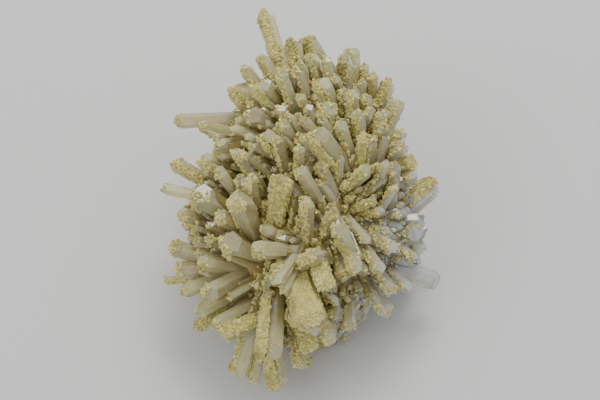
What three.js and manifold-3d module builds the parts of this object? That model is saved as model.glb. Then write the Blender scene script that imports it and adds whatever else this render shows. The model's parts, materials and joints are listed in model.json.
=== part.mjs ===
// A quartz and calcite specimen: a spray of quartz prisms grown together on a rough quartz base,
// with granular calcite crusted on the sides of the larger prisms.
// Millimetres, +Z up. It rests on a flat spot at z = 0, and the origin is under the middle of it.

import * as THREE from "three";
import { mergeVertices } from "three/addons/utils/BufferGeometryUtils.js";
import Module from "manifold-3d";

const wasm = await Module();
wasm.setup();

// The line of sight that the spray is laid out on: places are given square to it
const SIGHT_ELEVATION = THREE.MathUtils.degToRad(58);
const SIGHT_DISTANCE = 600;

// The dome that the tips reach, and the lower one that the prisms rise from
const DOME = { halfWidth: 58, halfHeight: 80, depth: 40 };
const BASE = { halfWidth: 52, halfHeight: 66, depth: 22 };
const BACKWARD_LEAN = -0.2;
const ROOT_SINK = 4;

// Quartz prisms; the pyramid angle is between the axis and the square to a face of the point
const PYRAMID_ANGLE = THREE.MathUtils.degToRad(51.8);
const BLUNTNESS = 0.3;
const BROAD_PRISM = 9;
const MOST_SET_BACK = 0.22;
const ODD_SET_BACK = [0.15, 0.5];
const ROOT_LENGTH = 12;
const ROOT_TAPER = 0.64;
const WIDTH_TO_RADIUS = 1 / 1.87;
const STEEPEST = 0.85;

// Calcite crusts; the wrap is how far round the prism they stop short of the middle
const GAP = 0.34;
const CRUST_THICKNESS = 1;
const CRUST_SIDES = 6;
const CRUST_START = 0.3;
const CRUST_WRAP = 0.52;
const LUMP_HEIGHT = 0.35;
const LUMP_SPACING = 12;

// Where the specimen is cut off flat, below the middle of the layout, and the waist above that
const REST_HEIGHT = -31;
const REST_HALF_WIDTH = 27;
const REST_HALF_DEPTH = 30;
const REST_FORWARD = -4;
const WAIST_SIDES = 14;
const WAIST_FOOT = -33;
const WAIST_HEIGHT = 22;
const WAIST_WIDENS = 0.3;

// How far each corner of a boulder is moved in or out, as a share of its half size
const DENTS = [0.86, 1.04];
const BOULDER_CORNERS = 42;

// Short prisms that fill in between the listed ones, over the front of the dome
const FILLING = {
  count: 6,
  halfWidth: 52,
  halfHeight: 70,
  out: [0.01, 0.62],
  apart: 5.4,
  rootShare: 0.62,
  rootRight: 3,
  widths: [3.2, 5.2],
  proud: [-9, -4],
};

// Rings of prisms round the far side and round the flanks over the table: bearings and slopes are in
// degrees, start and reach are from the middle, and the reach goes from the sides to the two ends
const FAR_RING = {
  bearings: [32, 140],
  step: 12,
  stray: 4,
  slopes: [[-9, 1], [10, 20]],
  middle: [0, 8, -8],
  start: 22,
  reach: [50, 50],
  reachStray: [-4, 4],
  widths: [5.5, 8],
};
const LOWER_RING = {
  bearings: [200, 472],
  step: 34,
  stray: 5,
  slopes: [[-26, -14]],
  middle: [0, -4, -8],
  start: 20,
  reach: [39, 46],
  reachStray: [-3, 2],
  widths: [4.5, 7.5],
};

const SEED = 7;
const WELD = 1e-4;

const RIGHT = new THREE.Vector3(1, 0, 0);
const UP = new THREE.Vector3(0, Math.sin(SIGHT_ELEVATION), Math.cos(SIGHT_ELEVATION));
const TOWARD = new THREE.Vector3(0, -Math.cos(SIGHT_ELEVATION), Math.sin(SIGHT_ELEVATION));

// Which way a crusted side faces: across, up, toward the eye
const LEFT = [-0.95, 0.05, 0.3];
const UPPER_LEFT = [-0.7, 0.6, 0.4];
const LOWER_LEFT = [-0.78, -0.52, 0.35];
const UPPER = [0, 0.8, 0.6];
const FRONT = [0, 0, 1];

// The prisms that can be told apart. Tip and root are across and up from the middle of the layout,
// width is across the prism, and proud is how far the tip stands out of the dome.
const PRISMS = [
  // the north side, from left to right
  { name: "north_spire", tip: [-14, 76.6], root: [-1.6, 37.6], width: 6.6, proud: 0, crust: LEFT },
  { name: "north_post", tip: [-2.4, 66], root: [2, 30], width: 6.8, proud: 5, crust: LEFT },
  { name: "north_slab", tip: [1.4, 67], root: [16, 44], width: 7.4, proud: 0, crust: LOWER_LEFT },
  { tip: [4.6, 58.4], root: [10, 34], width: 6.4, proud: 3 },
  { tip: [-3.6, 51.6], root: [-1, 32], width: 3.8, proud: 8 },
  { name: "northeast_post", tip: [20.6, 60.8], root: [21.4, 34], width: 6.6, proud: 0 },
  { tip: [17.2, 58.2], root: [19.2, 36], width: 4.6, proud: 3 },
  { tip: [13.6, 49.6], root: [18, 38], width: 4.4, proud: 2 },
  { tip: [26, 54.6], root: [26.4, 34], width: 3.4, proud: -2 },
  { tip: [29.4, 51.4], root: [28, 32], width: 4.6, proud: 0 },
  { name: "east_finger", tip: [37.2, 48.8], root: [26, 24], width: 6, proud: 1, crust: LEFT },
  { name: "east_finger_low", tip: [39.6, 40], root: [29, 16], width: 6.2, proud: 0 },
  { tip: [32.8, 35.2], root: [29, 18], width: 3.8, proud: 6 },
  { tip: [41.2, 27.6], root: [30, 15], width: 4.6, proud: 0 },
  { tip: [42.4, 21.6], root: [30, 13], width: 5.2, proud: 3 },
  { name: "east_stub", tip: [48.4, 15.8], root: [30, 12], width: 6.4, proud: 1, crust: FRONT },
  { tip: [46.6, 8.6], root: [34, 7], width: 5.6, proud: 1 },
  { name: "east_wedge", tip: [56, 7.6], root: [38, -9], width: 8.6, proud: 2, crust: UPPER_LEFT },

  // the northwest fan and the west side
  { name: "west_spire", tip: [-50.4, 31.4], root: [-13, 33.4], width: 5.8, proud: 0 },
  { name: "west_sprig", tip: [-39.6, 30.4], root: [-14, 23.6], width: 4.4, proud: 3 },
  { tip: [-32.4, 21.8], root: [-12, 25], width: 4.6, proud: 1 },
  { name: "west_block", tip: [-41, 17.8], root: [-16, 7], width: 7, proud: 1, crust: LOWER_LEFT },
  { name: "west_finger", tip: [-51.8, 16.6], root: [-33, 6], width: 5.6, proud: 0, crust: LOWER_LEFT },
  { tip: [-55, 4.8], root: [-36, 1], width: 5.2, proud: 0 },
  { name: "fan_left", tip: [-26.6, 47.6], root: [-13, 30], width: 8.8, proud: 0, crust: LOWER_LEFT },
  { name: "fan_long", tip: [-22.8, 53.4], root: [-5, 31], width: 5, proud: 2 },
  { name: "fan_front", tip: [-18.4, 48.2], root: [1, 26], width: 8, proud: 5, crust: LOWER_LEFT },
  { tip: [-16, 58.2], root: [-5, 38], width: 6, proud: -1 },
  { tip: [-20.6, 34.6], root: [-8, 28], width: 7.4, proud: 3 },

  // the middle, whose prisms lean to the upper left
  { name: "middle_tower", tip: [7.2, 50.2], root: [21, 20], width: 8.4, proud: 4, crust: LEFT },
  { name: "middle_slab", tip: [9.6, 40.2], root: [16, 16], width: 9.4, proud: 4, crust: LEFT },
  { tip: [20.8, 43.8], root: [21.8, 20], width: 5.6, proud: 6 },
  { tip: [26.4, 42.2], root: [25.6, 22], width: 4.6, proud: 3 },
  { name: "east_tower", tip: [28, 27.8], root: [26, 4], width: 7.8, proud: 4, crust: LEFT },
  { tip: [34.4, 15.8], root: [27, -6], width: 4.6, proud: 4 },
  { name: "centre_blade", tip: [4.4, 28.6], root: [24, 5], width: 10.6, proud: 6, crust: LOWER_LEFT },
  { name: "west_tower", tip: [-16.6, 26.6], root: [2, 18], width: 8.4, proud: 5, crust: LOWER_LEFT },
  { tip: [-8.8, 30.8], root: [1, 20], width: 7.2, proud: 4 },
  { tip: [0.4, 21.4], root: [-1.4, 4], width: 3.8, proud: 8 },
  { tip: [-0.4, 12.6], root: [14, -11], width: 5.4, proud: 6 },
  { name: "centre_post", tip: [3.2, -0.2], root: [3.6, -18], width: 5, proud: 6 },
  { name: "centre_column", tip: [-6.6, 11.4], root: [-11.4, -18], width: 8.8, proud: 4, crust: FRONT },
  { tip: [-20.8, 9.4], root: [-17, -4], width: 5.8, proud: 3 },
  { name: "west_crest", tip: [-43, 3.4], root: [-23, -8], width: 10.4, proud: 6 },
  { name: "west_pyramid", tip: [-25, 2.2], root: [-19, -13], width: 10.6, proud: 6 },
  { tip: [14.8, -10.2], root: [21, -21], width: 6.4, proud: 5 },
  { tip: [-33, -6], root: [-22, -12], width: 6.4, proud: 3 },
  { tip: [-48.6, -5.4], root: [-32, -10], width: 6, proud: 2 },

  // the south-west, whose prisms lie over to the left
  { name: "amber_block", tip: [-30.6, -15.6], root: [-14, -24], width: 9.4, proud: 2 },
  { name: "cross_bar", tip: [-18.6, -19.8], root: [0, -20.8], width: 6.8, proud: 6 },
  { tip: [8.4, -21.4], root: [-3, -27], width: 6.2, proud: 5 },
  { tip: [-10.2, -33.8], root: [-3, -24], width: 5.4, proud: 7 },
  { name: "south_west_bar", tip: [-40.2, -25], root: [-20, -27.6], width: 6, proud: 3 },
  { tip: [-52.2, -18.6], root: [-34, -24], width: 7.6, proud: 0 },
  { tip: [-50, -28], root: [-32, -27], width: 6.6, proud: -1 },
  { tip: [-47.4, -37], root: [-30, -30], width: 5.8, proud: -1 },
  { tip: [-54.2, -32.4], root: [-34, -31], width: 3.8, proud: 1 },
  { name: "south_west_plank", tip: [-38.2, -38], root: [-20, -28], width: 7.6, proud: 2 },
  { tip: [-41.8, -45], root: [-21, -35], width: 5.8, proud: 1 },
  { name: "south_west_toe", tip: [-41.8, -53.4], root: [-24, -38], width: 5.2, proud: -1, crust: UPPER_LEFT },
  { tip: [-34.8, -50.8], root: [-17, -40], width: 5.6, proud: 0 },

  // the south side, from left to right
  { name: "south_bar", tip: [-33, -55.2], root: [-6, -45], width: 7, proud: 3, crust: UPPER },
  { name: "south_stump", tip: [-24.4, -70], root: [-17, -44], width: 8.6, proud: -2, blunt: true },
  { tip: [-18.8, -74.2], root: [-14, -46], width: 5, proud: -1 },
  { name: "south_point", tip: [-7.6, -77.4], root: [-12, -48], width: 8.6, proud: 1, crust: LEFT },
  { name: "front_tusk", tip: [-12.2, -65.4], root: [-9, -28], width: 10.4, proud: 10, crust: LEFT },
  { name: "front_blade", tip: [6.2, -54.4], root: [-3, -22], width: 13.6, proud: 12, crust: FRONT },
  { name: "south_knob", tip: [4.8, -62.6], root: [-1.6, -40], width: 7.4, proud: 0, crust: FRONT },
  { tip: [1.4, -67.4], root: [-3, -42], width: 7.4, proud: -3 },
  { name: "south_east_cap", tip: [11.4, -37.6], root: [6, -22], width: 7.4, proud: 6, crust: FRONT },
  { tip: [11.2, -57.8], root: [12, -34], width: 6.4, proud: -2 },
  { tip: [20.4, -51.8], root: [20, -34], width: 4, proud: -3 },

  // the clear quartz of the east side
  { name: "clear_toe", tip: [35.8, -46.4], root: [24, -30], width: 6.6, proud: -1 },
  { name: "clear_wing", tip: [55, -32.6], root: [38, -27], width: 8, proud: 0 },
  { tip: [22.6, -29.4], root: [17, -14], width: 5.4, proud: 4 },
  { tip: [33, -29.4], root: [24, -17], width: 5.6, proud: 4 },
  { tip: [37, -37.2], root: [28, -24], width: 5.4, proud: 1 },
  { tip: [43.6, -36.2], root: [33, -25], width: 5.4, proud: 0 },
  { tip: [46.2, -24], root: [36, -16], width: 4.4, proud: 2 },
  { tip: [48.8, -12.4], root: [36, -16], width: 7.4, proud: 1 },
  { tip: [38.6, -20.4], root: [28, -13], width: 5.2, proud: 4 },
];

// Boulders of the quartz base: middle and half sizes, across, up and toward the eye
const BOULDERS = [
  { at: [3, 13, 0], half: [36, 40, 30] },
  { at: [2, -22, 5], half: [34, 36, 30] },
  { at: [28, -12, 3], half: [23, 27, 24] },
  { at: [-24, -8, 2], half: [23, 26, 24] },
  { at: [-24, -27, 2], half: [19, 17, 20] },
];

// A repeatable source of numbers from 0 to 1
function numberSource(seed) {
  let state = seed;
  return () => {
    state = (state + 0x6d2b79f5) | 0;
    let mixed = Math.imul(state ^ (state >>> 15), 1 | state);
    mixed = (mixed + Math.imul(mixed ^ (mixed >>> 7), 61 | mixed)) ^ mixed;
    return ((mixed ^ (mixed >>> 14)) >>> 0) / 4294967296;
  };
}

const random = numberSource(SEED);
const between = (low, high) => low + (high - low) * random();

// A layout place as a point, drawn in as it nears the eye so that it keeps its place in the view
function place(across, up, toward) {
  const spread = 1 - toward / SIGHT_DISTANCE;
  return new THREE.Vector3()
    .addScaledVector(RIGHT, across * spread)
    .addScaledVector(UP, up * spread)
    .addScaledVector(TOWARD, toward);
}

function direction([across, up, toward]) {
  return place(across, up, 0).addScaledVector(TOWARD, toward).normalize();
}

function domeDepth(dome, across, up) {
  const share = 1 - (across / dome.halfWidth) ** 2 - (up / dome.halfHeight) ** 2;
  return BACKWARD_LEAN * up + dome.depth * Math.sqrt(Math.max(0, share));
}

// A geometry with positions alone, each corner once
function welded(geometry) {
  const bare = geometry.clone();
  bare.deleteAttribute("normal");
  bare.deleteAttribute("uv");
  return mergeVertices(bare, WELD);
}

// A closed three.js geometry as a solid that can be joined and cut
function solidOf(geometry) {
  const merged = welded(geometry);
  return new wasm.Manifold(
    new wasm.Mesh({
      numProp: 3,
      vertProperties: merged.attributes.position.array,
      triVerts: new Uint32Array(merged.index.array),
    }),
  );
}

const join = (solids) => solids.reduce((whole, next) => whole.add(next));

// Turns +Y onto the axis, spun so that the first side faces the given way
function frameOf(axis, facing) {
  const across = new THREE.Vector3().crossVectors(axis, facing).normalize();
  const outward = new THREE.Vector3().crossVectors(across, axis).normalize();
  return new THREE.Matrix4().makeBasis(across, axis, outward);
}

// How far each face of a prism's point is set back from the very tip; a thin prism has three faces
function pointFaces(width) {
  const sides = width < BROAD_PRISM ? [0, 2, 4] : [0, 1, 2, 3, 4, 5];
  return sides.map((side) => ({
    around: (side * Math.PI) / 3,
    setBack: width * (side % 2 ? between(...ODD_SET_BACK) : between(0, MOST_SET_BACK)),
  }));
}

// A prism ready to build, from the middle of its foot along its axis
function prismAt({ name, foot, axis, length, width, crust, blunt = false }) {
  const anyWay = new THREE.Vector3(between(-1, 1), between(-1, 1), between(-1, 1));
  const facing = crust ? direction(crust) : anyWay;
  return {
    name,
    foot,
    axis,
    length,
    facing,
    crust,
    blunt,
    turn: frameOf(axis, facing),
    radius: width * WIDTH_TO_RADIUS,
    faces: pointFaces(width),
  };
}

// A prism from the tip and root that are seen; it never points at the eye more steeply than the limit
function prismFrom({ tip, root, width, proud, ...rest }) {
  const tipDepth = domeDepth(DOME, tip[0], tip[1]) + proud;
  const seenLength = Math.hypot(tip[0] - root[0], tip[1] - root[1]);
  const rootDepth = Math.max(
    domeDepth(BASE, root[0], root[1]) - ROOT_SINK,
    tipDepth - STEEPEST * seenLength,
  );
  const tipAt = place(tip[0], tip[1], tipDepth);
  const rootAt = place(root[0], root[1], rootDepth);
  const axis = tipAt.clone().sub(rootAt).normalize();
  const skin = rest.crust && rest.name ? GAP + CRUST_THICKNESS : 0;
  return prismAt({
    ...rest,
    axis,
    width: width - skin,
    foot: rootAt.clone().addScaledVector(axis, -ROOT_LENGTH),
    length: tipAt.distanceTo(rootAt) + ROOT_LENGTH - skin / Math.cos(PYRAMID_ANGLE),
  });
}

function standOn({ foot, turn }, geometry) {
  return solidOf(geometry.applyMatrix4(turn).translate(foot.x, foot.y, foot.z));
}

// Cuts a shaft down to the faces of its prism's point
function pointed(prism, shaft, grow) {
  const spread = Math.sin(PYRAMID_ANGLE) * (prism.blunt ? BLUNTNESS : 1);
  return prism.faces.reduce((solid, { around, setBack }) => {
    const normal = new THREE.Vector3(0, Math.cos(PYRAMID_ANGLE), spread)
      .applyAxisAngle(new THREE.Vector3(0, 1, 0), around)
      .normalize()
      .applyMatrix4(prism.turn);
    const through = prism.foot.clone().addScaledVector(prism.axis, prism.length + setBack);
    return solid.trimByPlane(normal.clone().negate().toArray(), -(normal.dot(through) + grow));
  }, shaft);
}

// A six-sided prism that ends in a point, or in a plain broken end
function prismSolid(prism, grow = 0) {
  const { length, radius } = prism;
  const shaft = new THREE.CylinderGeometry(radius + grow, radius * ROOT_TAPER + grow, length + grow, 6)
    .rotateY(Math.PI / 6)
    .translate(0, (length + grow) / 2, 0);
  return pointed(prism, standOn(prism, shaft), grow);
}

// Filling prisms, none of which stands close to a listed one or to another
function fillingPrisms() {
  const made = [];
  while (made.length < FILLING.count) {
    const around = between(0, 2 * Math.PI);
    const out = Math.sqrt(between(...FILLING.out));
    const tip = [Math.cos(around) * out * FILLING.halfWidth, Math.sin(around) * out * FILLING.halfHeight];
    const crowded = [...PRISMS, ...made].some(
      (other) => Math.hypot(other.tip[0] - tip[0], other.tip[1] - tip[1]) < FILLING.apart,
    );
    if (crowded) continue;
    const root = [tip[0] * FILLING.rootShare + FILLING.rootRight, tip[1] * FILLING.rootShare];
    made.push({ tip, root, width: between(...FILLING.widths), proud: between(...FILLING.proud) });
  }
  return made;
}

// A ring of prisms that radiate from one place
function ringOfPrisms(ring) {
  const made = [];
  for (let bearing = ring.bearings[0]; bearing <= ring.bearings[1]; bearing += ring.step) {
    const yaw = THREE.MathUtils.degToRad(bearing + between(-ring.stray, ring.stray));
    const pitch = THREE.MathUtils.degToRad(between(...ring.slopes[made.length % ring.slopes.length]));
    const axis = new THREE.Vector3(
      Math.cos(yaw) * Math.cos(pitch),
      Math.sin(yaw) * Math.cos(pitch),
      Math.sin(pitch),
    );
    const reach = THREE.MathUtils.lerp(...ring.reach, Math.abs(Math.sin(yaw))) + between(...ring.reachStray);
    made.push({
      axis,
      foot: new THREE.Vector3(...ring.middle).addScaledVector(axis, ring.start),
      length: reach - ring.start,
      width: between(...ring.widths),
    });
  }
  return made;
}

// One rough boulder of the base
function boulderSolid({ at, half }, dents, grow = 0) {
  const rock = welded(new THREE.IcosahedronGeometry(1, 1));
  const corners = rock.attributes.position;
  for (let corner = 0; corner < corners.count; corner += 1) {
    const [across, up, toward] = half.map((size, side) => {
      const reach = size * dents[corner] + grow;
      return at[side] + reach * corners.getComponent(corner, side);
    });
    corners.setXYZ(corner, ...place(across, up, toward).toArray());
  }
  return solidOf(rock);
}

// The waist that narrows from the boulders to the flat spot
function waistSolid(grow = 0) {
  const waist = new THREE.CylinderGeometry(1, 1, 1, WAIST_SIDES)
    .translate(0, 0.5, 0)
    .rotateX(Math.PI / 2);
  const corners = waist.attributes.position;
  for (let corner = 0; corner < corners.count; corner += 1) {
    const widen = 1 + WAIST_WIDENS * corners.getZ(corner);
    corners.setXYZ(
      corner,
      corners.getX(corner) * (REST_HALF_WIDTH * widen + grow),
      corners.getY(corner) * (REST_HALF_DEPTH * widen + grow) + REST_FORWARD,
      WAIST_FOOT + corners.getZ(corner) * (WAIST_HEIGHT + grow),
    );
  }
  return solidOf(waist);
}

// The bumps of a crust, worked out once so that the grown copy has them in the same places
function crustBumps(prism) {
  const start = ROOT_LENGTH + (prism.length - ROOT_LENGTH) * CRUST_START;
  const rings = Math.max(2, Math.round((prism.length - start) / LUMP_SPACING));
  const bumps = Array.from(
    { length: (rings + 1) * CRUST_SIDES },
    () => between(-LUMP_HEIGHT, LUMP_HEIGHT),
  );
  return { start, rings, bumps };
}

// A bumpy skin of calcite over one side of a prism and over that side of its point
function crustSolid(prism, { start, rings, bumps }, grow = 0) {
  const skin = GAP + CRUST_THICKNESS + grow;
  const taper = THREE.MathUtils.lerp(ROOT_TAPER, 1, start / prism.length);
  const height = prism.length - start + CRUST_THICKNESS + 2 * grow;
  const shaft = welded(new THREE.CylinderGeometry(1, 1, 1, CRUST_SIDES, rings).rotateY(Math.PI / 6));
  const corners = shaft.attributes.position;
  for (let corner = 0; corner < corners.count; corner += 1) {
    const along = corners.getY(corner) + 0.5;
    const out = prism.radius * THREE.MathUtils.lerp(taper, 1, along) + skin + bumps[corner % bumps.length];
    corners.setXYZ(
      corner,
      corners.getX(corner) * out,
      start - grow + along * height,
      corners.getZ(corner) * out,
    );
  }
  const cutAt = prism.facing.clone();
  cutAt.addScaledVector(prism.axis, -cutAt.dot(prism.axis)).normalize();
  const offset = cutAt.dot(prism.foot) + prism.radius * CRUST_WRAP - grow;
  return pointed(prism, standOn(prism, shaft), skin).trimByPlane(cutAt.toArray(), offset);
}

const largestBody = (solid) =>
  solid.decompose().reduce((most, body) => (body.volume() > most.volume() ? body : most));

function meshOf(name, solid, material) {
  const { numProp, numVert, vertProperties, triVerts } = solid.getMesh();
  const positions = new Float32Array(numVert * 3);
  for (let corner = 0; corner < numVert; corner += 1) {
    positions.set(vertProperties.subarray(corner * numProp, corner * numProp + 3), corner * 3);
  }
  const geometry = new THREE.BufferGeometry();
  geometry.setAttribute("position", new THREE.BufferAttribute(positions, 3));
  geometry.setIndex(new THREE.BufferAttribute(triVerts, 1));
  geometry.computeVertexNormals();
  const mesh = new THREE.Mesh(geometry, material);
  mesh.name = name;
  return mesh;
}

const quartz = new THREE.MeshStandardMaterial({ color: 0xcfc8b4, roughness: 0.25, metalness: 0 });
const calcite = new THREE.MeshStandardMaterial({ color: 0xd9cd94, roughness: 0.7, metalness: 0 });

const named = PRISMS.map(prismFrom);
const filling = fillingPrisms().map(prismFrom);
const unseen = [...ringOfPrisms(FAR_RING), ...ringOfPrisms(LOWER_RING)].map(prismAt);
const everyPrism = [...named, ...filling, ...unseen];
const boulderDents = BOULDERS.map(() =>
  Array.from({ length: BOULDER_CORNERS }, () => between(...DENTS)),
);

function clusterSolid(grow = 0) {
  const boulders = BOULDERS.map((boulder, index) => boulderSolid(boulder, boulderDents[index], grow));
  const prisms = everyPrism.map((prism) => prismSolid(prism, grow));
  return join([...boulders, waistSolid(grow), ...prisms]);
}

const cluster = largestBody(clusterSolid().trimByPlane([0, 0, 1], REST_HEIGHT));

// Each crust is cut back from the quartz and from the crusts before it
let taken = clusterSolid(GAP);
const crusts = named
  .filter((prism) => prism.crust && prism.name)
  .map((prism) => {
    const bumps = crustBumps(prism);
    const crust = largestBody(crustSolid(prism, bumps).subtract(taken));
    taken = taken.add(crustSolid(prism, bumps, GAP));
    return meshOf(`calcite_on_${prism.name}`, crust, calcite);
  });

const specimen = new THREE.Group();
const layout = new THREE.Group();
layout.add(meshOf("quartz_cluster", cluster, quartz), ...crusts);
const box = new THREE.Box3().setFromObject(layout);
const middle = box.getCenter(new THREE.Vector3());
layout.position.set(-middle.x, -middle.y, -REST_HEIGHT);
specimen.add(layout);

export default specimen;
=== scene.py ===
import json
import math

import bmesh
import bpy
import numpy as np
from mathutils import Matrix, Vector, noise
from mathutils.bvhtree import BVHTree
from mathutils.kdtree import KDTree

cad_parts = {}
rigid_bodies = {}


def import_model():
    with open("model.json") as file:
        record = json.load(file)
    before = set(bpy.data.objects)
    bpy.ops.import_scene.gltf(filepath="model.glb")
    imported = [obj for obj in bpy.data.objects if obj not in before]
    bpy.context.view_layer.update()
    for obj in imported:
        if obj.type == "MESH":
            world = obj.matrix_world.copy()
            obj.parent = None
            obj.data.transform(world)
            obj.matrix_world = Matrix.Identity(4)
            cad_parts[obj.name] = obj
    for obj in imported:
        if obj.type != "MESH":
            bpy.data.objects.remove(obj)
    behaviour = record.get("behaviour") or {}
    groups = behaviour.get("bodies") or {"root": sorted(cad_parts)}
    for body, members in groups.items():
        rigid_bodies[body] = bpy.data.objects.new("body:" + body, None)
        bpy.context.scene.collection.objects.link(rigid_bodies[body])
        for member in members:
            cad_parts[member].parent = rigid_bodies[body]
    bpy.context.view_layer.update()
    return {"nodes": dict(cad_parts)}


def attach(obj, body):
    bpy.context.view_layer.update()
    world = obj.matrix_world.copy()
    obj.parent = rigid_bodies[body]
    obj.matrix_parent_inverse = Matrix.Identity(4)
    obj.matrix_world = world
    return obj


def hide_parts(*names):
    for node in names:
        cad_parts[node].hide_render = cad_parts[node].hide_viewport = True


for start_object in list(bpy.data.objects):
    bpy.data.objects.remove(start_object)

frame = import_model()
MM = 0.001
rng = np.random.default_rng(11)

# The photograph's line of sight, and the place on it that the specimen was laid out round
SIGHT_ELEVATION = math.radians(58)
SIGHT_DISTANCE = 600
LAYOUT_MIDDLE = np.array([-0.65, 3.53, 31.0])
RIGHT = np.array([1.0, 0.0, 0.0])
UP = np.array([0.0, math.sin(SIGHT_ELEVATION), math.cos(SIGHT_ELEVATION)])
TOWARD = np.array([0.0, -math.cos(SIGHT_ELEVATION), math.sin(SIGHT_ELEVATION)])

# The rough base between the prisms: middle and half sizes, across, up and toward the eye, in mm
BOULDERS = [
    ((3, 13, 0), (36, 40, 30)),
    ((2, -22, 5), (34, 36, 30)),
    ((28, -12, 3), (23, 27, 24)),
    ((-24, -8, 2), (23, 26, 24)),
    ((-24, -27, 2), (19, 17, 20)),
]
RADIATING_FROM = np.array([9.0, -8.0, -14.0])

# The waist under them: its middle and half sizes at its foot, and how it widens over its height
WAIST_MIDDLE = np.array([-0.65, -0.47])
WAIST_HALF = np.array([27, 30])
WAIST_FOOT, WAIST_HEIGHT, WAIST_WIDENS = -2, 22, 0.3


def sight(across, up, toward):
    return across * RIGHT + up * UP + toward * TOWARD


def seen_place(points):
    """Across, up and toward the eye of points in mm, as they lie in the photograph."""
    offset = points - LAYOUT_MIDDLE
    toward = offset @ TOWARD
    spread = 1 - toward / SIGHT_DISTANCE
    return np.stack([offset @ RIGHT / spread, offset @ UP / spread, toward], axis=1)


def unit(vectors):
    return vectors / np.maximum(np.linalg.norm(vectors, axis=-1, keepdims=True), 1e-12)


def smooth(low, high, value):
    share = np.clip((value - low) / (high - low), 0, 1)
    return share * share * (3 - 2 * share)


def cloud(points, size, shift=0.0):
    """A soft random value from -1 to 1 at each point, with patches of about that size in mm."""
    return np.array([noise.noise(Vector(p / size + shift)) for p in points])


def normals_and_areas(places, triangles):
    cross = np.cross(
        places[triangles[:, 1]] - places[triangles[:, 0]],
        places[triangles[:, 2]] - places[triangles[:, 0]],
    )
    doubled = np.linalg.norm(cross, axis=1)
    return cross / np.maximum(doubled, 1e-12)[:, None], doubled / 2


def points_in(places, triangles, owners):
    """A random point in the triangle of each owner."""
    one, two = rng.random(len(owners)), rng.random(len(owners))
    fold = one + two > 1
    one[fold], two[fold] = 1 - one[fold], 1 - two[fold]
    first, second, third = places[triangles[owners]].transpose(1, 0, 2)
    return first + one[:, None] * (second - first) + two[:, None] * (third - first)


def within(values, limits):
    return (values > limits[0]) & (values < limits[1])


def new_piece(name, places, faces, material):
    mesh = bpy.data.meshes.new(name)
    mesh.from_pydata((places * MM).tolist(), [], faces.tolist())
    mesh.materials.append(material)
    piece = bpy.data.objects.new(name, mesh)
    bpy.context.scene.collection.objects.link(piece)
    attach(piece, "root")
    return piece


def set_values(mesh, name, domain, values):
    mesh.attributes.new(name, "FLOAT", domain).data.foreach_set("value", values.astype(np.float32))


# Shapes, in mm

WELD = 0.002
SAME_PLANE = math.radians(0.4)
LONGEST_EDGE = 3.6
HALVINGS = 4

# A face is part of the base where it lies near a boulder's surface or the waist's, as a share of
# its size, and looks squarely enough outward
BOULDER_SHELL, BOULDER_SQUARE = (0.76, 1.06), 0.86
WAIST_SHELL, WAIST_SQUARE = (0.94, 1.02), 0.8


def cad_mesh(name):
    """A node's mesh in mm with its doubled corners merged."""
    copy = bmesh.new()
    copy.from_mesh(frame["nodes"][name].data)
    bmesh.ops.scale(copy, vec=(1 / MM,) * 3, verts=copy.verts)
    bmesh.ops.remove_doubles(copy, verts=copy.verts, dist=WELD)
    return copy


def quartz_body():
    """The fused prisms as small triangles that know their crystal face and its long direction."""
    body = cad_mesh("quartz_cluster")
    bmesh.ops.dissolve_limit(body, angle_limit=SAME_PLANE, verts=body.verts, edges=body.edges)
    face_number = body.faces.layers.int.new("face_number")
    directions, slender = [], []
    for number, face in enumerate(body.faces):
        face[face_number] = number
        longest = max(face.edges, key=lambda edge: edge.calc_length())
        directions.append((longest.verts[1].co - longest.verts[0].co).normalized())
        slender.append(longest.calc_length() ** 2 / face.calc_area())
    bmesh.ops.triangulate(body, faces=body.faces)
    for _ in range(HALVINGS):
        long_edges = [edge for edge in body.edges if edge.calc_length() > LONGEST_EDGE]
        bmesh.ops.subdivide_edges(body, edges=long_edges, cuts=1, use_grid_fill=True)
        bmesh.ops.triangulate(body, faces=[face for face in body.faces if len(face.verts) > 3])
    body.verts.index_update()
    places = np.array([vert.co for vert in body.verts])
    triangles = np.array([[vert.index for vert in face.verts] for face in body.faces])
    numbers = np.array([face[face_number] for face in body.faces])
    body.free()
    return places, triangles, numbers, np.array(directions), np.array(slender)


def is_base(centres, normals):
    """Which faces belong to the rough base or its waist and not to a prism."""
    seen = seen_place(centres)
    found = np.zeros(len(centres), bool)
    for middle, half in BOULDERS:
        scaled = (seen - middle) / half
        outward = unit(scaled / half)
        facing = unit(outward @ np.array([RIGHT, UP, TOWARD]))
        reach = np.linalg.norm(scaled, axis=1)
        square = (facing * normals).sum(axis=1) > BOULDER_SQUARE
        found |= within(reach, BOULDER_SHELL) & square
    widened = 1 + WAIST_WIDENS * (centres[:, 2] - WAIST_FOOT) / WAIST_HEIGHT
    round_waist = (centres[:, :2] - WAIST_MIDDLE) / (WAIST_HALF * widened[:, None])
    reach = np.linalg.norm(round_waist, axis=1)
    square = (unit(round_waist / WAIST_HALF) * normals[:, :2]).sum(axis=1) > WAIST_SQUARE
    low = centres[:, 2] < WAIST_FOOT + WAIST_HEIGHT
    return found | (within(reach, WAIST_SHELL) & square & low)


def spread_points(places, triangles, areas, spacing, tries):
    """Random points on triangles, none nearer than the spacing to an earlier one."""
    picked = rng.choice(len(triangles), tries, p=areas / areas.sum())
    points = points_in(places, triangles, picked)
    kept, cells = [], {}
    for index, point in enumerate(points):
        cell = tuple((point // spacing).astype(int))
        near = [
            other
            for x in (-1, 0, 1)
            for y in (-1, 0, 1)
            for z in (-1, 0, 1)
            for other in cells.get((cell[0] + x, cell[1] + y, cell[2] + z), ())
        ]
        if all(np.sum((points[other] - point) ** 2) > spacing**2 for other in near):
            cells.setdefault(cell, []).append(index)
            kept.append(index)
    return points[kept], picked[kept]


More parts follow.
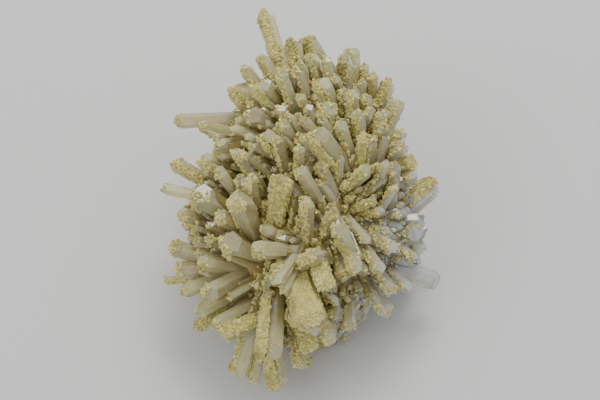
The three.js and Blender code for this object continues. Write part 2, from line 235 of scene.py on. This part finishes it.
# A small crystal: its point's height and its foot's width as shares of its width, and how far its
# shoulder's corners are moved up or down
POINT_HEIGHTS = (0.45, 0.75)
FOOT_WIDTH = 0.8
UNEVEN = 0.35


def crystal_template():
    """A six-sided crystal whose corners lie at 0, its foot, 1, its shoulder, and 2, its point."""
    shape = bmesh.new()
    bmesh.ops.create_cone(shape, cap_ends=True, segments=6, radius1=1, radius2=1, depth=1)
    bmesh.ops.translate(shape, vec=(0, 0, 0.5), verts=shape.verts)
    top = max(shape.faces, key=lambda face: face.calc_center_median().z)
    bmesh.ops.poke(shape, faces=[top], offset=1)
    bmesh.ops.triangulate(shape, faces=shape.faces)
    shape.verts.index_update()
    corners = np.array([vert.co for vert in shape.verts])
    faces = np.array([[vert.index for vert in face.verts] for face in shape.faces])
    shape.free()
    return corners, faces


def small_crystals(roots, outward, widths, heights, sunk):
    """Many crystals as one set of triangles: whose each one is, and whether it is on a point."""
    corners, faces = crystal_template()
    count = len(roots)
    sideways = unit(np.cross(outward, unit(rng.normal(size=(count, 3)))))
    across = np.cross(outward, sideways)
    at_foot, at_tip = corners[:, 2] < 0.5, corners[:, 2] > 1.5
    at_shoulder = ~at_foot & ~at_tip
    shoulder = heights - widths * rng.uniform(*POINT_HEIGHTS, count)
    radius = (widths / 2)[:, None] * np.where(at_foot, FOOT_WIDTH, 1.0)[None, :]
    moved = rng.uniform(-UNEVEN, UNEVEN, (count, len(corners))) * widths[:, None] * at_shoulder
    above_foot = np.where(at_shoulder, shoulder[:, None], heights[:, None])
    along = np.where(at_foot, -sunk[:, None], above_foot) + moved
    places = (
        roots[:, None]
        + along[:, :, None] * outward[:, None]
        + (radius * corners[:, 0])[:, :, None] * sideways[:, None]
        + (radius * corners[:, 1])[:, :, None] * across[:, None]
    )
    offsets = (np.arange(count) * len(corners))[:, None, None]
    return (
        places.reshape(-1, 3),
        (faces[None] + offsets).reshape(-1, 3),
        np.repeat(np.arange(count), len(faces)),
        np.tile(at_tip[faces].any(axis=1), count),
    )


# How open a place is: how far its rays reach, how far off the surface they start, and their number
RAY_REACH, RAY_LIFT = 22, 0.05
QUARTZ_RAYS, GRAIN_RAYS, CRUST_RAYS = ((24, 12, 12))
GOLDEN_TURN = np.pi * (3 - math.sqrt(5))
NEAR_X = 0.7


def is_free(start, ray, reach):
    return quartz_tree.ray_cast(Vector(start), Vector(ray), reach)[0] is None


def openness_of(places, normals, count):
    """The share of the sky over each place that the quartz leaves free within the rays' reach."""
    steps = np.arange(count)
    height = 1 - (steps + 0.5) / count
    ring = np.sqrt(1 - height**2)
    turned = GOLDEN_TURN * steps
    dome = np.stack([ring * np.cos(turned), ring * np.sin(turned), height], axis=1)
    helper = np.where(np.abs(normals[:, :1]) < NEAR_X, [[1.0, 0, 0]], [[0, 1.0, 0]])
    sideways = unit(np.cross(normals, helper))
    across = np.cross(normals, sideways)
    values = np.zeros(len(places))
    for index, place in enumerate(places):
        start = place + RAY_LIFT * normals[index]
        rays = dome @ np.array([sideways[index], across[index], normals[index]])
        values[index] = sum(is_free(start, ray, RAY_REACH) for ray in rays) / count
    return values


def corner_normals(places, triangles, normals, areas):
    summed = np.zeros_like(places)
    for corner in range(3):
        np.add.at(summed, triangles[:, corner], normals * areas[:, None])
    return unit(summed)


# Crystals on the rough base between the modelled prisms, from large to small: how far apart they
# stand, how many places are tried, their widths, their heights to their widths, and how strongly
# they stand square to the base instead of following the prisms round them
LAYERS = [
    {"apart": 4.6, "tries": 5000, "widths": (3.2, 5.8), "slender": (2.2, 3.8), "upright": 0.12},
    {"apart": 2.6, "tries": 9000, "widths": (1.6, 3.2), "slender": (1.5, 2.9), "upright": 0.4},
]

# How deep they are rooted: a depth, and a share of their width on top of it
ROOT_DEPTH, ROOT_DEPTH_BY_WIDTH = 2.0, 0.5

# They grow the way that this many faces near them do on the mean, turned away from the line of
# sight by a share, and stray from it at random
NEIGHBOURS = 60
LAID_OVER = 0.55
STRAY = 0.13

# Their tips stay in this slanting oval, as it is seen from the camera, and off the table
MOST_ACROSS, MOST_UP, SLANT = 42, 60, 0.2
LOWEST_ROOT, LOWEST_TIP = 3.5, 1.8
SHORTENINGS, SHORTER = 9, 0.85

# A face's slenderness is its longest edge squared over its area: the faces of a prism's point have
# less than this, and its sides have more
MOST_SLENDER_POINT = 2.6


def growth_around(points, centres, directions, areas):
    """Which way crystals grow round each point: the mean long direction of the faces near it."""
    tree = KDTree(len(centres))
    for index, centre in enumerate(centres):
        tree.insert(centre, index)
    tree.balance()
    found = np.zeros_like(points)
    for number, point in enumerate(points):
        for _, index, distance in tree.find_n(point, NEIGHBOURS):
            found[number] += directions[index] * areas[index] / (1 + distance)
    return unit(found)


def kept_inside(roots, axes, heights):
    """Heights cut down so that no point stands out past the modelled prisms."""
    for _ in range(SHORTENINGS):
        tips = roots + heights[:, None] * axes
        seen = seen_place(tips)
        across = seen[:, 0] - SLANT * seen[:, 1]
        outside = (across / MOST_ACROSS) ** 2 + (seen[:, 1] / MOST_UP) ** 2 > 1
        outside |= tips[:, 2] < LOWEST_TIP
        heights = np.where(outside, SHORTER * heights, heights)
    return heights


# The quartz: the fused prisms, and the crystals that cover the rough base between them
body_places, body_triangles, face_numbers, face_directions, face_slenderness = quartz_body()
body_normals, body_areas = normals_and_areas(body_places, body_triangles)
body_centres = body_places[body_triangles].mean(axis=1)
rough = is_base(body_centres, body_normals)
of_point = ~rough & (face_slenderness[face_numbers] < MOST_SLENDER_POINT)
outward_here = body_centres - (LAYOUT_MIDDLE + sight(*RADIATING_FROM))
grain_of_face = face_directions[face_numbers]
grain_of_face = grain_of_face * np.sign((grain_of_face * outward_here).sum(axis=1))[:, None]
base = rough & (body_centres[:, 2] > LOWEST_ROOT)
small_places, small_triangles, small_owner, small_points, lean = [], [], [], [], []
for layer in LAYERS:
    roots, root_faces = spread_points(
        body_places, body_triangles[base], body_areas[base], layer["apart"], layer["tries"]
    )
    upright = body_normals[base][root_faces]
    growth = growth_around(roots, body_centres[~rough], grain_of_face[~rough], body_areas[~rough])
    stray = rng.normal(scale=STRAY, size=roots.shape)
    growth -= LAID_OVER * (growth @ TOWARD)[:, None] * TOWARD
    axes = unit(layer["upright"] * upright + unit(growth) + stray)
    widths = rng.uniform(*layer["widths"], len(roots))
    heights = kept_inside(roots, axes, widths * rng.uniform(*layer["slender"], len(roots)))
    sunk = ROOT_DEPTH + ROOT_DEPTH_BY_WIDTH * widths
    places, triangles, owners, points = small_crystals(roots, axes, widths, heights, sunk)
    small_triangles.append(triangles + sum(len(part) for part in small_places))
    small_owner.append(owners + sum(len(part) for part in lean))
    small_places.append(places)
    small_points.append(points)
    lean.append(axes)
small_places, small_triangles = np.concatenate(small_places), np.concatenate(small_triangles)
small_owner, lean = np.concatenate(small_owner), np.concatenate(lean)

quartz_places = np.concatenate([body_places, small_places])
quartz_triangles = np.concatenate([body_triangles, small_triangles + len(body_places)])
quartz_normals, quartz_areas = normals_and_areas(quartz_places, quartz_triangles)
quartz_centres = quartz_places[quartz_triangles].mean(axis=1)
quartz_tree = BVHTree.FromPolygons(quartz_places.tolist(), quartz_triangles.tolist())
point_normals = corner_normals(quartz_places, quartz_triangles, quartz_normals, quartz_areas)
# How open each place is: it sets the painted shade between the crystals, and where calcite may sit
openness = openness_of(quartz_places, point_normals, QUARTZ_RAYS)
face_openness = openness[quartz_triangles].mean(axis=1)

# The quartz turns clear between these places across, which lie further right higher up, and the
# edge between is patchy
CLEAR_FROM, CLEAR_TO = 20, 44
CLEAR_SLANT, CLEAR_MIDDLE = 0.35, -10
CLEAR_PATCH, CLEAR_RAGGED = 11, 7


def clearness(points):
    """How clear and free of calcite the quartz is: clearest on the east side."""
    seen = seen_place(points)
    edge = seen[:, 0] - CLEAR_SLANT * (seen[:, 1] - CLEAR_MIDDLE)
    return smooth(CLEAR_FROM, CLEAR_TO, edge + CLEAR_RAGGED * cloud(points, CLEAR_PATCH, 3.0))


# The long direction of each face, and how far along and across it each corner lies, for the streaks
triangle_directions = np.concatenate([face_directions[face_numbers], lean[small_owner]])
triangle_across = unit(np.cross(quartz_normals, triangle_directions))
triangle_tones = np.concatenate([
    rng.random(len(face_directions))[face_numbers],
    rng.random(len(lean))[small_owner],
])

# Materials

# The quartz's colours: two tones for the veils, one for the painted shade between the crystals and
# two for single patches
MILKY_VEILS = (0.78, 0.725, 0.36, 1), (0.915, 0.88, 0.56, 1)
CLEAR_VEILS = (0.69, 0.71, 0.69, 1), (0.89, 0.92, 0.93, 1)
# The shade colours below are painted shade, laid on between the crystals where little light
# reaches, milky and clear
MILKY_SHADE_COLOUR, CLEAR_SHADE_COLOUR = (0.63, 0.50, 0.17, 1), (0.53, 0.52, 0.45, 1)
AMBER = (0.72, 0.53, 0.26, 1)
WHITE_CLOUD = (0.95, 0.91, 0.64, 1)
# Openness limits over which the painted shade between the crystals fades in
QUARTZ_CREVICE = (0.05, 0.48)
QUARTZ_IOR = 1.544

CALCITE_PALE, CALCITE_STAIN = (0.735, 0.66, 0.24, 1), (0.49, 0.42, 0.12, 1)
# Painted shade for the calcite between grains and crystals, and the openness limits over which it
# fades in
CALCITE_SHADE_COLOUR = (0.54, 0.41, 0.09, 1)
CALCITE_CREVICE = (0.02, 0.32)
CALCITE_IOR = 1.58
FLOOR_GREY = (0.72, 0.72, 0.71, 1)

# How much patches of noise shift the openness at which a crevice's painted shade begins
CREVICE_PATCHES = 0.26


def group(name, inputs, outputs):
    """A shader node group with named inputs and outputs, and its tree to fill."""
    made = bpy.data.node_groups.new(name, "ShaderNodeTree")
    kinds = {"float": "NodeSocketFloat", "color": "NodeSocketColor", "vector": "NodeSocketVector"}
    for label, kind in inputs:
        made.interface.new_socket(label, in_out="INPUT", socket_type=kinds[kind])
    for label, kind in outputs:
        made.interface.new_socket(label, in_out="OUTPUT", socket_type=kinds[kind])
    return made, made.nodes.new("NodeGroupInput"), made.nodes.new("NodeGroupOutput")


def node(tree, kind, inputs=(), **settings):
    made = tree.nodes.new(kind)
    for key, value in settings.items():
        setattr(made, key, value)
    for socket, value in dict(inputs).items():
        if isinstance(value, bpy.types.NodeSocket):
            tree.links.new(value, made.inputs[socket])
        else:
            made.inputs[socket].default_value = value
    return made


def mixed(tree, share, first, second, blend="MIX"):
    """The output of a colour mix."""
    made = tree.nodes.new("ShaderNodeMix")
    made.data_type = "RGBA"
    made.blend_type = blend
    for socket, value in ((0, share), (6, first), (7, second)):
        if isinstance(value, bpy.types.NodeSocket):
            tree.links.new(value, made.inputs[socket])
        else:
            made.inputs[socket].default_value = value
    return made.outputs[2]


def crevice_group():
    """Painted shade: from the plain colour in the open to a darker shade colour down between the
    crystals, where little light reaches, with a patchy edge.
    """
    made, given, result = group(
        "crevice_shade",
        [
            ("Openness", "float"),
            ("Position", "vector"),
            ("Pale", "color"),
            ("Shade", "color"),
            ("Low", "float"),
            ("High", "float"),
        ],
        [("Color", "color")],
    )
    patches = node(made, "ShaderNodeTexNoise", {
        "Vector": given.outputs["Position"], "Scale": 140, "Detail": 3,
    })
    shifted = node(made, "ShaderNodeMath", {
        0: patches.outputs["Fac"], 1: CREVICE_PATCHES, 2: given.outputs["Openness"],
    }, operation="MULTIPLY_ADD")
    centred = node(made, "ShaderNodeMath", {
        0: shifted.outputs[0], 1: CREVICE_PATCHES / 2,
    }, operation="SUBTRACT")
    # How much painted shade each place gets, from none in the open to all of it between the
    # crystals
    depth = node(made, "ShaderNodeMapRange", {
        "Value": centred.outputs[0],
        "From Min": given.outputs["Low"],
        "From Max": given.outputs["High"],
        "To Min": 1,
        "To Max": 0,
    }, interpolation_type="SMOOTHSTEP")
    colour = mixed(made, depth.outputs[0], given.outputs["Pale"], given.outputs["Shade"])
    made.links.new(colour, result.inputs["Color"])
    return made


crevice_shade = crevice_group()


def attribute(tree, name):
    return node(tree, "ShaderNodeAttribute", attribute_name=name).outputs["Fac"]


def object_place(tree):
    return node(tree, "ShaderNodeTexCoord").outputs["Object"]


def use_crevice(tree, pale, shade_colour, limits):
    """The colour with painted shade that the crevice group gives, between two limits of openness.
    """
    return node(tree, "ShaderNodeGroup", {
        "Position": object_place(tree),
        "Openness": attribute(tree, "openness"),
        "Pale": pale,
        "Shade": shade_colour,
        "Low": limits[0],
        "High": limits[1],
    }, node_tree=crevice_shade).outputs["Color"]


def shaded_by_tone(tree, colour, darkest, lightest):
    """A colour made darker or lighter by each crystal's or grain's own tone."""
    shade = node(tree, "ShaderNodeMapRange", {
        "Value": attribute(tree, "tone"), "To Min": darkest, "To Max": lightest,
    })
    return mixed(tree, 1.0, colour, shade.outputs[0], "MULTIPLY")


def noise_share(tree, limits, **settings):
    """A noise texture's value, spread from 0 to 1 between two limits."""
    made = node(tree, "ShaderNodeTexNoise", settings)
    return node(tree, "ShaderNodeMapRange", {
        "Value": made.outputs["Fac"], "From Min": limits[0], "From Max": limits[1],
    }).outputs[0]


def new_material(name):
    material = bpy.data.materials.new(name)
    material.use_nodes = True
    return material, material.node_tree, material.node_tree.nodes["Principled BSDF"]


def quartz_material():
    """Milky quartz, clearer on one side: soft veils along each crystal under a glossy face, with
    painted shade between the crystals.
    """
    material, tree, shader = new_material("milky_quartz")
    streak_map = node(tree, "ShaderNodeUVMap", uv_map="streaks").outputs["UV"]
    stretched = node(tree, "ShaderNodeMapping", {"Vector": streak_map, "Scale": (0.10, 0.42, 1)})
    veil = noise_share(
        tree, (0.36, 0.66), Vector=stretched.outputs[0], Scale=1.5, Detail=3, Roughness=0.5
    )
    clearness_here = attribute(tree, "clearness")
    milky = mixed(tree, veil, *MILKY_VEILS)
    clear = mixed(tree, veil, *CLEAR_VEILS)
    pale = mixed(tree, clearness_here, milky, clear)
    # The painted shade colour, milky or clear
    shade_colour = mixed(tree, clearness_here, MILKY_SHADE_COLOUR, CLEAR_SHADE_COLOUR)
    amber = node(tree, "ShaderNodeMapRange", {
        "Value": attribute(tree, "tone"), "From Min": 0.62, "From Max": 1.0, "To Max": 0.55,
    })
    tinted = mixed(tree, amber.outputs[0], pale, AMBER)
    cloudy = noise_share(
        tree, (0.48, 0.66), Vector=object_place(tree), Scale=330, Detail=6, Roughness=0.72
    )
    whitened = mixed(tree, cloudy, tinted, WHITE_CLOUD)
    # Painted shade between the crystals, by openness
    crevice_shaded = use_crevice(tree, whitened, shade_colour, QUARTZ_CREVICE)
    varied = shaded_by_tone(tree, crevice_shaded, 1.1, 0.86)
    tree.links.new(varied, shader.inputs["Base Color"])
    frost = node(tree, "ShaderNodeMapRange", {
        "Value": clearness_here, "To Min": 0.26, "To Max": 0.06,
    })
    tree.links.new(frost.outputs[0], shader.inputs["Roughness"])
    steps = node(tree, "ShaderNodeMapping", {"Vector": streak_map, "Scale": (1.2, 0.1, 1)})
    ridges = node(tree, "ShaderNodeTexNoise", {
        "Vector": steps.outputs[0], "Scale": 0.8, "Detail": 1,
    })
    bump = node(tree, "ShaderNodeBump", {
        "Height": ridges.outputs["Fac"], "Strength": 0.08, "Distance": 0.0003,
    })
    tree.links.new(bump.outputs[0], shader.inputs["Normal"])
    shader.inputs["IOR"].default_value = QUARTZ_IOR
    shader.inputs["Transmission Weight"].default_value = 0.5
    shader.inputs["Subsurface Weight"].default_value = 0.5
    shader.inputs["Subsurface Radius"].default_value = (1.0, 1.0, 1.0)
    shader.inputs["Subsurface Scale"].default_value = 0.003
    shader.inputs["Coat Weight"].default_value = 1.0
    shader.inputs["Coat Roughness"].default_value = 0.05
    return material


def calcite_material():
    """Pale yellow calcite with olive stains, each grain of its own tone, with painted shade between
    the grains and crystals.
    """
    material, tree, shader = new_material("calcite_grains")
    stained = noise_share(tree, (0.56, 0.70), Vector=object_place(tree), Scale=75, Detail=2)
    pale = mixed(tree, stained, CALCITE_PALE, CALCITE_STAIN)
    # Painted shade between the grains and crystals, by openness
    crevice_shaded = use_crevice(tree, pale, CALCITE_SHADE_COLOUR, CALCITE_CREVICE)
    varied = shaded_by_tone(tree, crevice_shaded, 0.70, 1.15)
    tree.links.new(varied, shader.inputs["Base Color"])
    shader.inputs["Roughness"].default_value = 0.42
    shader.inputs["IOR"].default_value = CALCITE_IOR
    return material


quartz_look = quartz_material()
calcite_look = calcite_material()

quartz = new_piece("quartz_crystals", quartz_places, quartz_triangles, quartz_look)
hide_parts("quartz_cluster")
# The openness attribute sets the painted shade between the crystals
set_values(quartz.data, "openness", "POINT", openness)
set_values(quartz.data, "clearness", "POINT", clearness(quartz_places))
set_values(quartz.data, "tone", "FACE", triangle_tones)
streaks = quartz.data.uv_layers.new(name="streaks")
corner_places = quartz_places[quartz_triangles]
along = (corner_places * triangle_directions[:, None]).sum(axis=2)
across = (corner_places * triangle_across[:, None]).sum(axis=2)
streaks.data.foreach_set("uv", np.stack([along, across], axis=2).reshape(-1).astype(np.float32))

# Calcite grains: their size in mm and how it varies, how far they stand off the surface as a share
# of it, their slant, and how many there are to a square millimetre
GRAIN = 0.84
GRAIN_SIZES = (0.62, 1.2)
GRAIN_RISE = 0.12
RHOMB_SLANT = 0.24
GRAINS_ON_CRUST, GRAINS_ON_QUARTZ = 2.0, 1.8
MOST_GRAINS = 16000

# The front blade's coat is finer than the others. A crust's face carries grains where no quartz is
# nearer to it than the free space
FINE_CRUST, FINE_SHARE = "calcite_on_front_blade", 0.6
FREE_SPACE = 2.0
CRUST_TONES = (0.1, 0.6)

# They sit most thickly on the left sides of the prisms, and on some of the points. The weights say
# how much each of these, and chance, counts, and the pairs are limits between none and all
CRUSTED_SIDE = unit(sight(-0.88, -0.1, 0.42))
CRUSTED_FACING = (0.42, 0.74)
SIDE_WEIGHT, POINT_WEIGHT, CHANCE_WEIGHT = 0.8, 0.40, 0.32
COVERED_POINTS = (-0.1, 0.2)
WANTED = (0.32, 0.56)
LOOKING_UP = (-0.35, 0.1)
OPEN_ENOUGH = (0.03, 0.16)
CLEAR_SPARED = 0.5
COARSE_PATCH, FINE_PATCH, POINT_PATCH = 7.5, 2.4, 13.0
COARSE_SHARE, FINE_PATCH_SHARE = 0.7, 0.5


def coverage(centres, normals, open_share, pointed):
    """How thickly calcite covers each face of the quartz, from 0 to 1."""
    facing = smooth(*CRUSTED_FACING, normals @ CRUSTED_SIDE)
    coarse, fine = cloud(centres, COARSE_PATCH), cloud(centres, FINE_PATCH, 9.0)
    patchy = COARSE_SHARE * coarse + FINE_PATCH_SHARE * fine
    points = pointed * smooth(*COVERED_POINTS, cloud(centres, POINT_PATCH, 21.0))
    wish = SIDE_WEIGHT * facing + POINT_WEIGHT * points + CHANCE_WEIGHT * patchy
    above = smooth(*LOOKING_UP, normals[:, 2])
    spared = 1 - CLEAR_SPARED * clearness(centres)
    return smooth(*WANTED, wish) * above * spared * smooth(*OPEN_ENOUGH, open_share)


def rhomb_template():
    """A cleavage rhomb of calcite, one unit across."""
    shape = bmesh.new()
    bmesh.ops.create_cube(shape, size=1)
    shape.verts.index_update()
    corners = np.array([vert.co for vert in shape.verts])
    faces = np.array([[vert.index for vert in face.verts] for face in shape.faces])
    shape.free()
    lean = np.array([[1, 0, 0], [RHOMB_SLANT, 1, 0], [RHOMB_SLANT, RHOMB_SLANT, 1]])
    return corners @ lean, faces


def scattered(places, triangles, areas, per_mm2):
    """Random places on triangles at a density for each triangle, and the triangles they fell on."""
    counts = rng.poisson(areas * per_mm2)
    owners = np.repeat(np.arange(len(triangles)), counts)
    return points_in(places, triangles, owners), owners


def grains_at(points, normals, sizes):
    """Many rhombs as one set of faces, each turned at random and half sunk in the surface."""
    corners, faces = rhomb_template()
    count = len(points)
    first = unit(rng.normal(size=(count, 3)))
    second = unit(np.cross(first, rng.normal(size=(count, 3))))
    third = np.cross(first, second)
    turned = (
        corners[None, :, 0, None] * first[:, None]
        + corners[None, :, 1, None] * second[:, None]
        + corners[None, :, 2, None] * third[:, None]
    )
    raised = points + GRAIN_RISE * sizes[:, None] * normals
    places = raised[:, None] + turned * sizes[:, None, None]
    offsets = (np.arange(count) * len(corners))[:, None, None]
    return places.reshape(-1, 3), (faces[None] + offsets).reshape(-1, 4)


crust_names = sorted(name for name in frame["nodes"] if name.startswith("calcite_on_"))
crust_places, crust_triangles = [], []
for crust_name in crust_names:
    crust = cad_mesh(crust_name)
    bmesh.ops.triangulate(crust, faces=crust.faces)
    crust.verts.index_update()
    start = sum(len(part) for part in crust_places)
    crust_places.append(np.array([vert.co for vert in crust.verts]))
    corners = np.array([[vert.index for vert in face.verts] for face in crust.faces])
    crust_triangles.append(start + corners)
    crust.free()
crust_fineness = np.concatenate([
    np.full(len(part), FINE_SHARE if name == FINE_CRUST else 1.0)
    for name, part in zip(crust_names, crust_triangles)
])
crust_places = np.concatenate(crust_places)
crust_triangles = np.concatenate(crust_triangles)
crust_normals, crust_areas = normals_and_areas(crust_places, crust_triangles)
crust_centres = crust_places[crust_triangles].mean(axis=1)
outer = np.array([
    is_free(centre + RAY_LIFT * normal, normal, FREE_SPACE)
    for centre, normal in zip(crust_centres, crust_normals)
])

on_crust, crust_owner = scattered(
    crust_places, crust_triangles, crust_areas, GRAINS_ON_CRUST * outer / crust_fineness**2
)
pointed_faces = np.concatenate([of_point, *small_points])
covered = coverage(quartz_centres, quartz_normals, face_openness, pointed_faces)
on_quartz, quartz_owner = scattered(
    quartz_places, quartz_triangles, quartz_areas, GRAINS_ON_QUARTZ * covered
)
grain_points = np.concatenate([on_crust, on_quartz])
grain_normals = np.concatenate([crust_normals[crust_owner], quartz_normals[quartz_owner]])
order = np.argsort(grain_points[:, 1])
grain_points, grain_normals = grain_points[order], grain_normals[order]
fineness = np.concatenate([crust_fineness[crust_owner], np.ones(len(quartz_owner))])[order]
grain_sizes = GRAIN * fineness * rng.uniform(*GRAIN_SIZES, len(grain_points))
grain_openness = openness_of(grain_points + 0.5 * grain_normals, grain_normals, GRAIN_RAYS)

pieces_wanted = max(1, math.ceil(len(grain_points) / MOST_GRAINS))
for number, chosen in enumerate(np.array_split(np.arange(len(grain_points)), pieces_wanted)):
    places, faces = grains_at(grain_points[chosen], grain_normals[chosen], grain_sizes[chosen])
    grains = new_piece(f"calcite_grains_{number + 1}", places, faces, calcite_look)
    corners_each = len(places) // len(chosen)
    # Each grain's openness sets its painted shade
    set_values(grains.data, "openness", "POINT", np.repeat(grain_openness[chosen], corners_each))
    set_values(grains.data, "tone", "POINT", np.repeat(rng.random(len(chosen)), corners_each))

skin = new_piece("calcite_crusts", crust_places, crust_triangles, calcite_look)
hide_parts(*crust_names)
skin_normals = corner_normals(crust_places, crust_triangles, crust_normals, crust_areas)
# The crust's openness sets its painted shade
set_values(skin.data, "openness", "POINT", openness_of(crust_places, skin_normals, CRUST_RAYS))
set_values(skin.data, "tone", "POINT", rng.uniform(*CRUST_TONES, len(crust_places)))

print(len(quartz_triangles), "quartz triangles", len(lean), "crystals", len(grain_points), "grains")

# Studio

floor_material, _, floor_shader = new_material("studio_floor")
floor_shader.inputs["Base Color"].default_value = FLOOR_GREY
floor_shader.inputs["Roughness"].default_value = 0.8
bpy.ops.mesh.primitive_plane_add(size=6)
floor = bpy.context.object
floor.name = "studio_floor"
floor.data.materials.append(floor_material)

world = bpy.data.worlds.new("studio")
bpy.context.scene.world = world
world.use_nodes = True
background = world.node_tree.nodes["Background"]
background.inputs["Color"].default_value = (0.96, 0.97, 0.98, 1)
background.inputs["Strength"].default_value = 0.68


def lamp(name, place, target, size, power, colour):
    """A square lamp that faces the target."""
    light = bpy.data.lights.new(name, "AREA")
    light.size = size
    light.energy = power
    light.color = colour
    made = bpy.data.objects.new(name, light)
    made.location = place
    made.rotation_euler = (Vector(target) - Vector(place)).to_track_quat("-Z", "Y").to_euler()
    bpy.context.scene.collection.objects.link(made)


middle = Vector(LAYOUT_MIDDLE * MM)
lamp("key", (0.12, 0.42, 0.75), middle, size=0.45, power=4.4, colour=(1.0, 0.99, 0.97))
lamp("fill", (-0.55, -0.35, 0.55), middle, size=0.5, power=1.6, colour=(0.97, 0.98, 1.0))

camera_data = bpy.data.cameras.new("camera")
camera_data.lens = 90
camera_data.sensor_width = 36
camera = bpy.data.objects.new("camera", camera_data)
camera.location = middle + Vector(TOWARD * SIGHT_DISTANCE * MM)
camera.rotation_euler = (math.pi / 2 - SIGHT_ELEVATION, 0, 0)
bpy.context.scene.collection.objects.link(camera)
bpy.context.scene.camera = camera
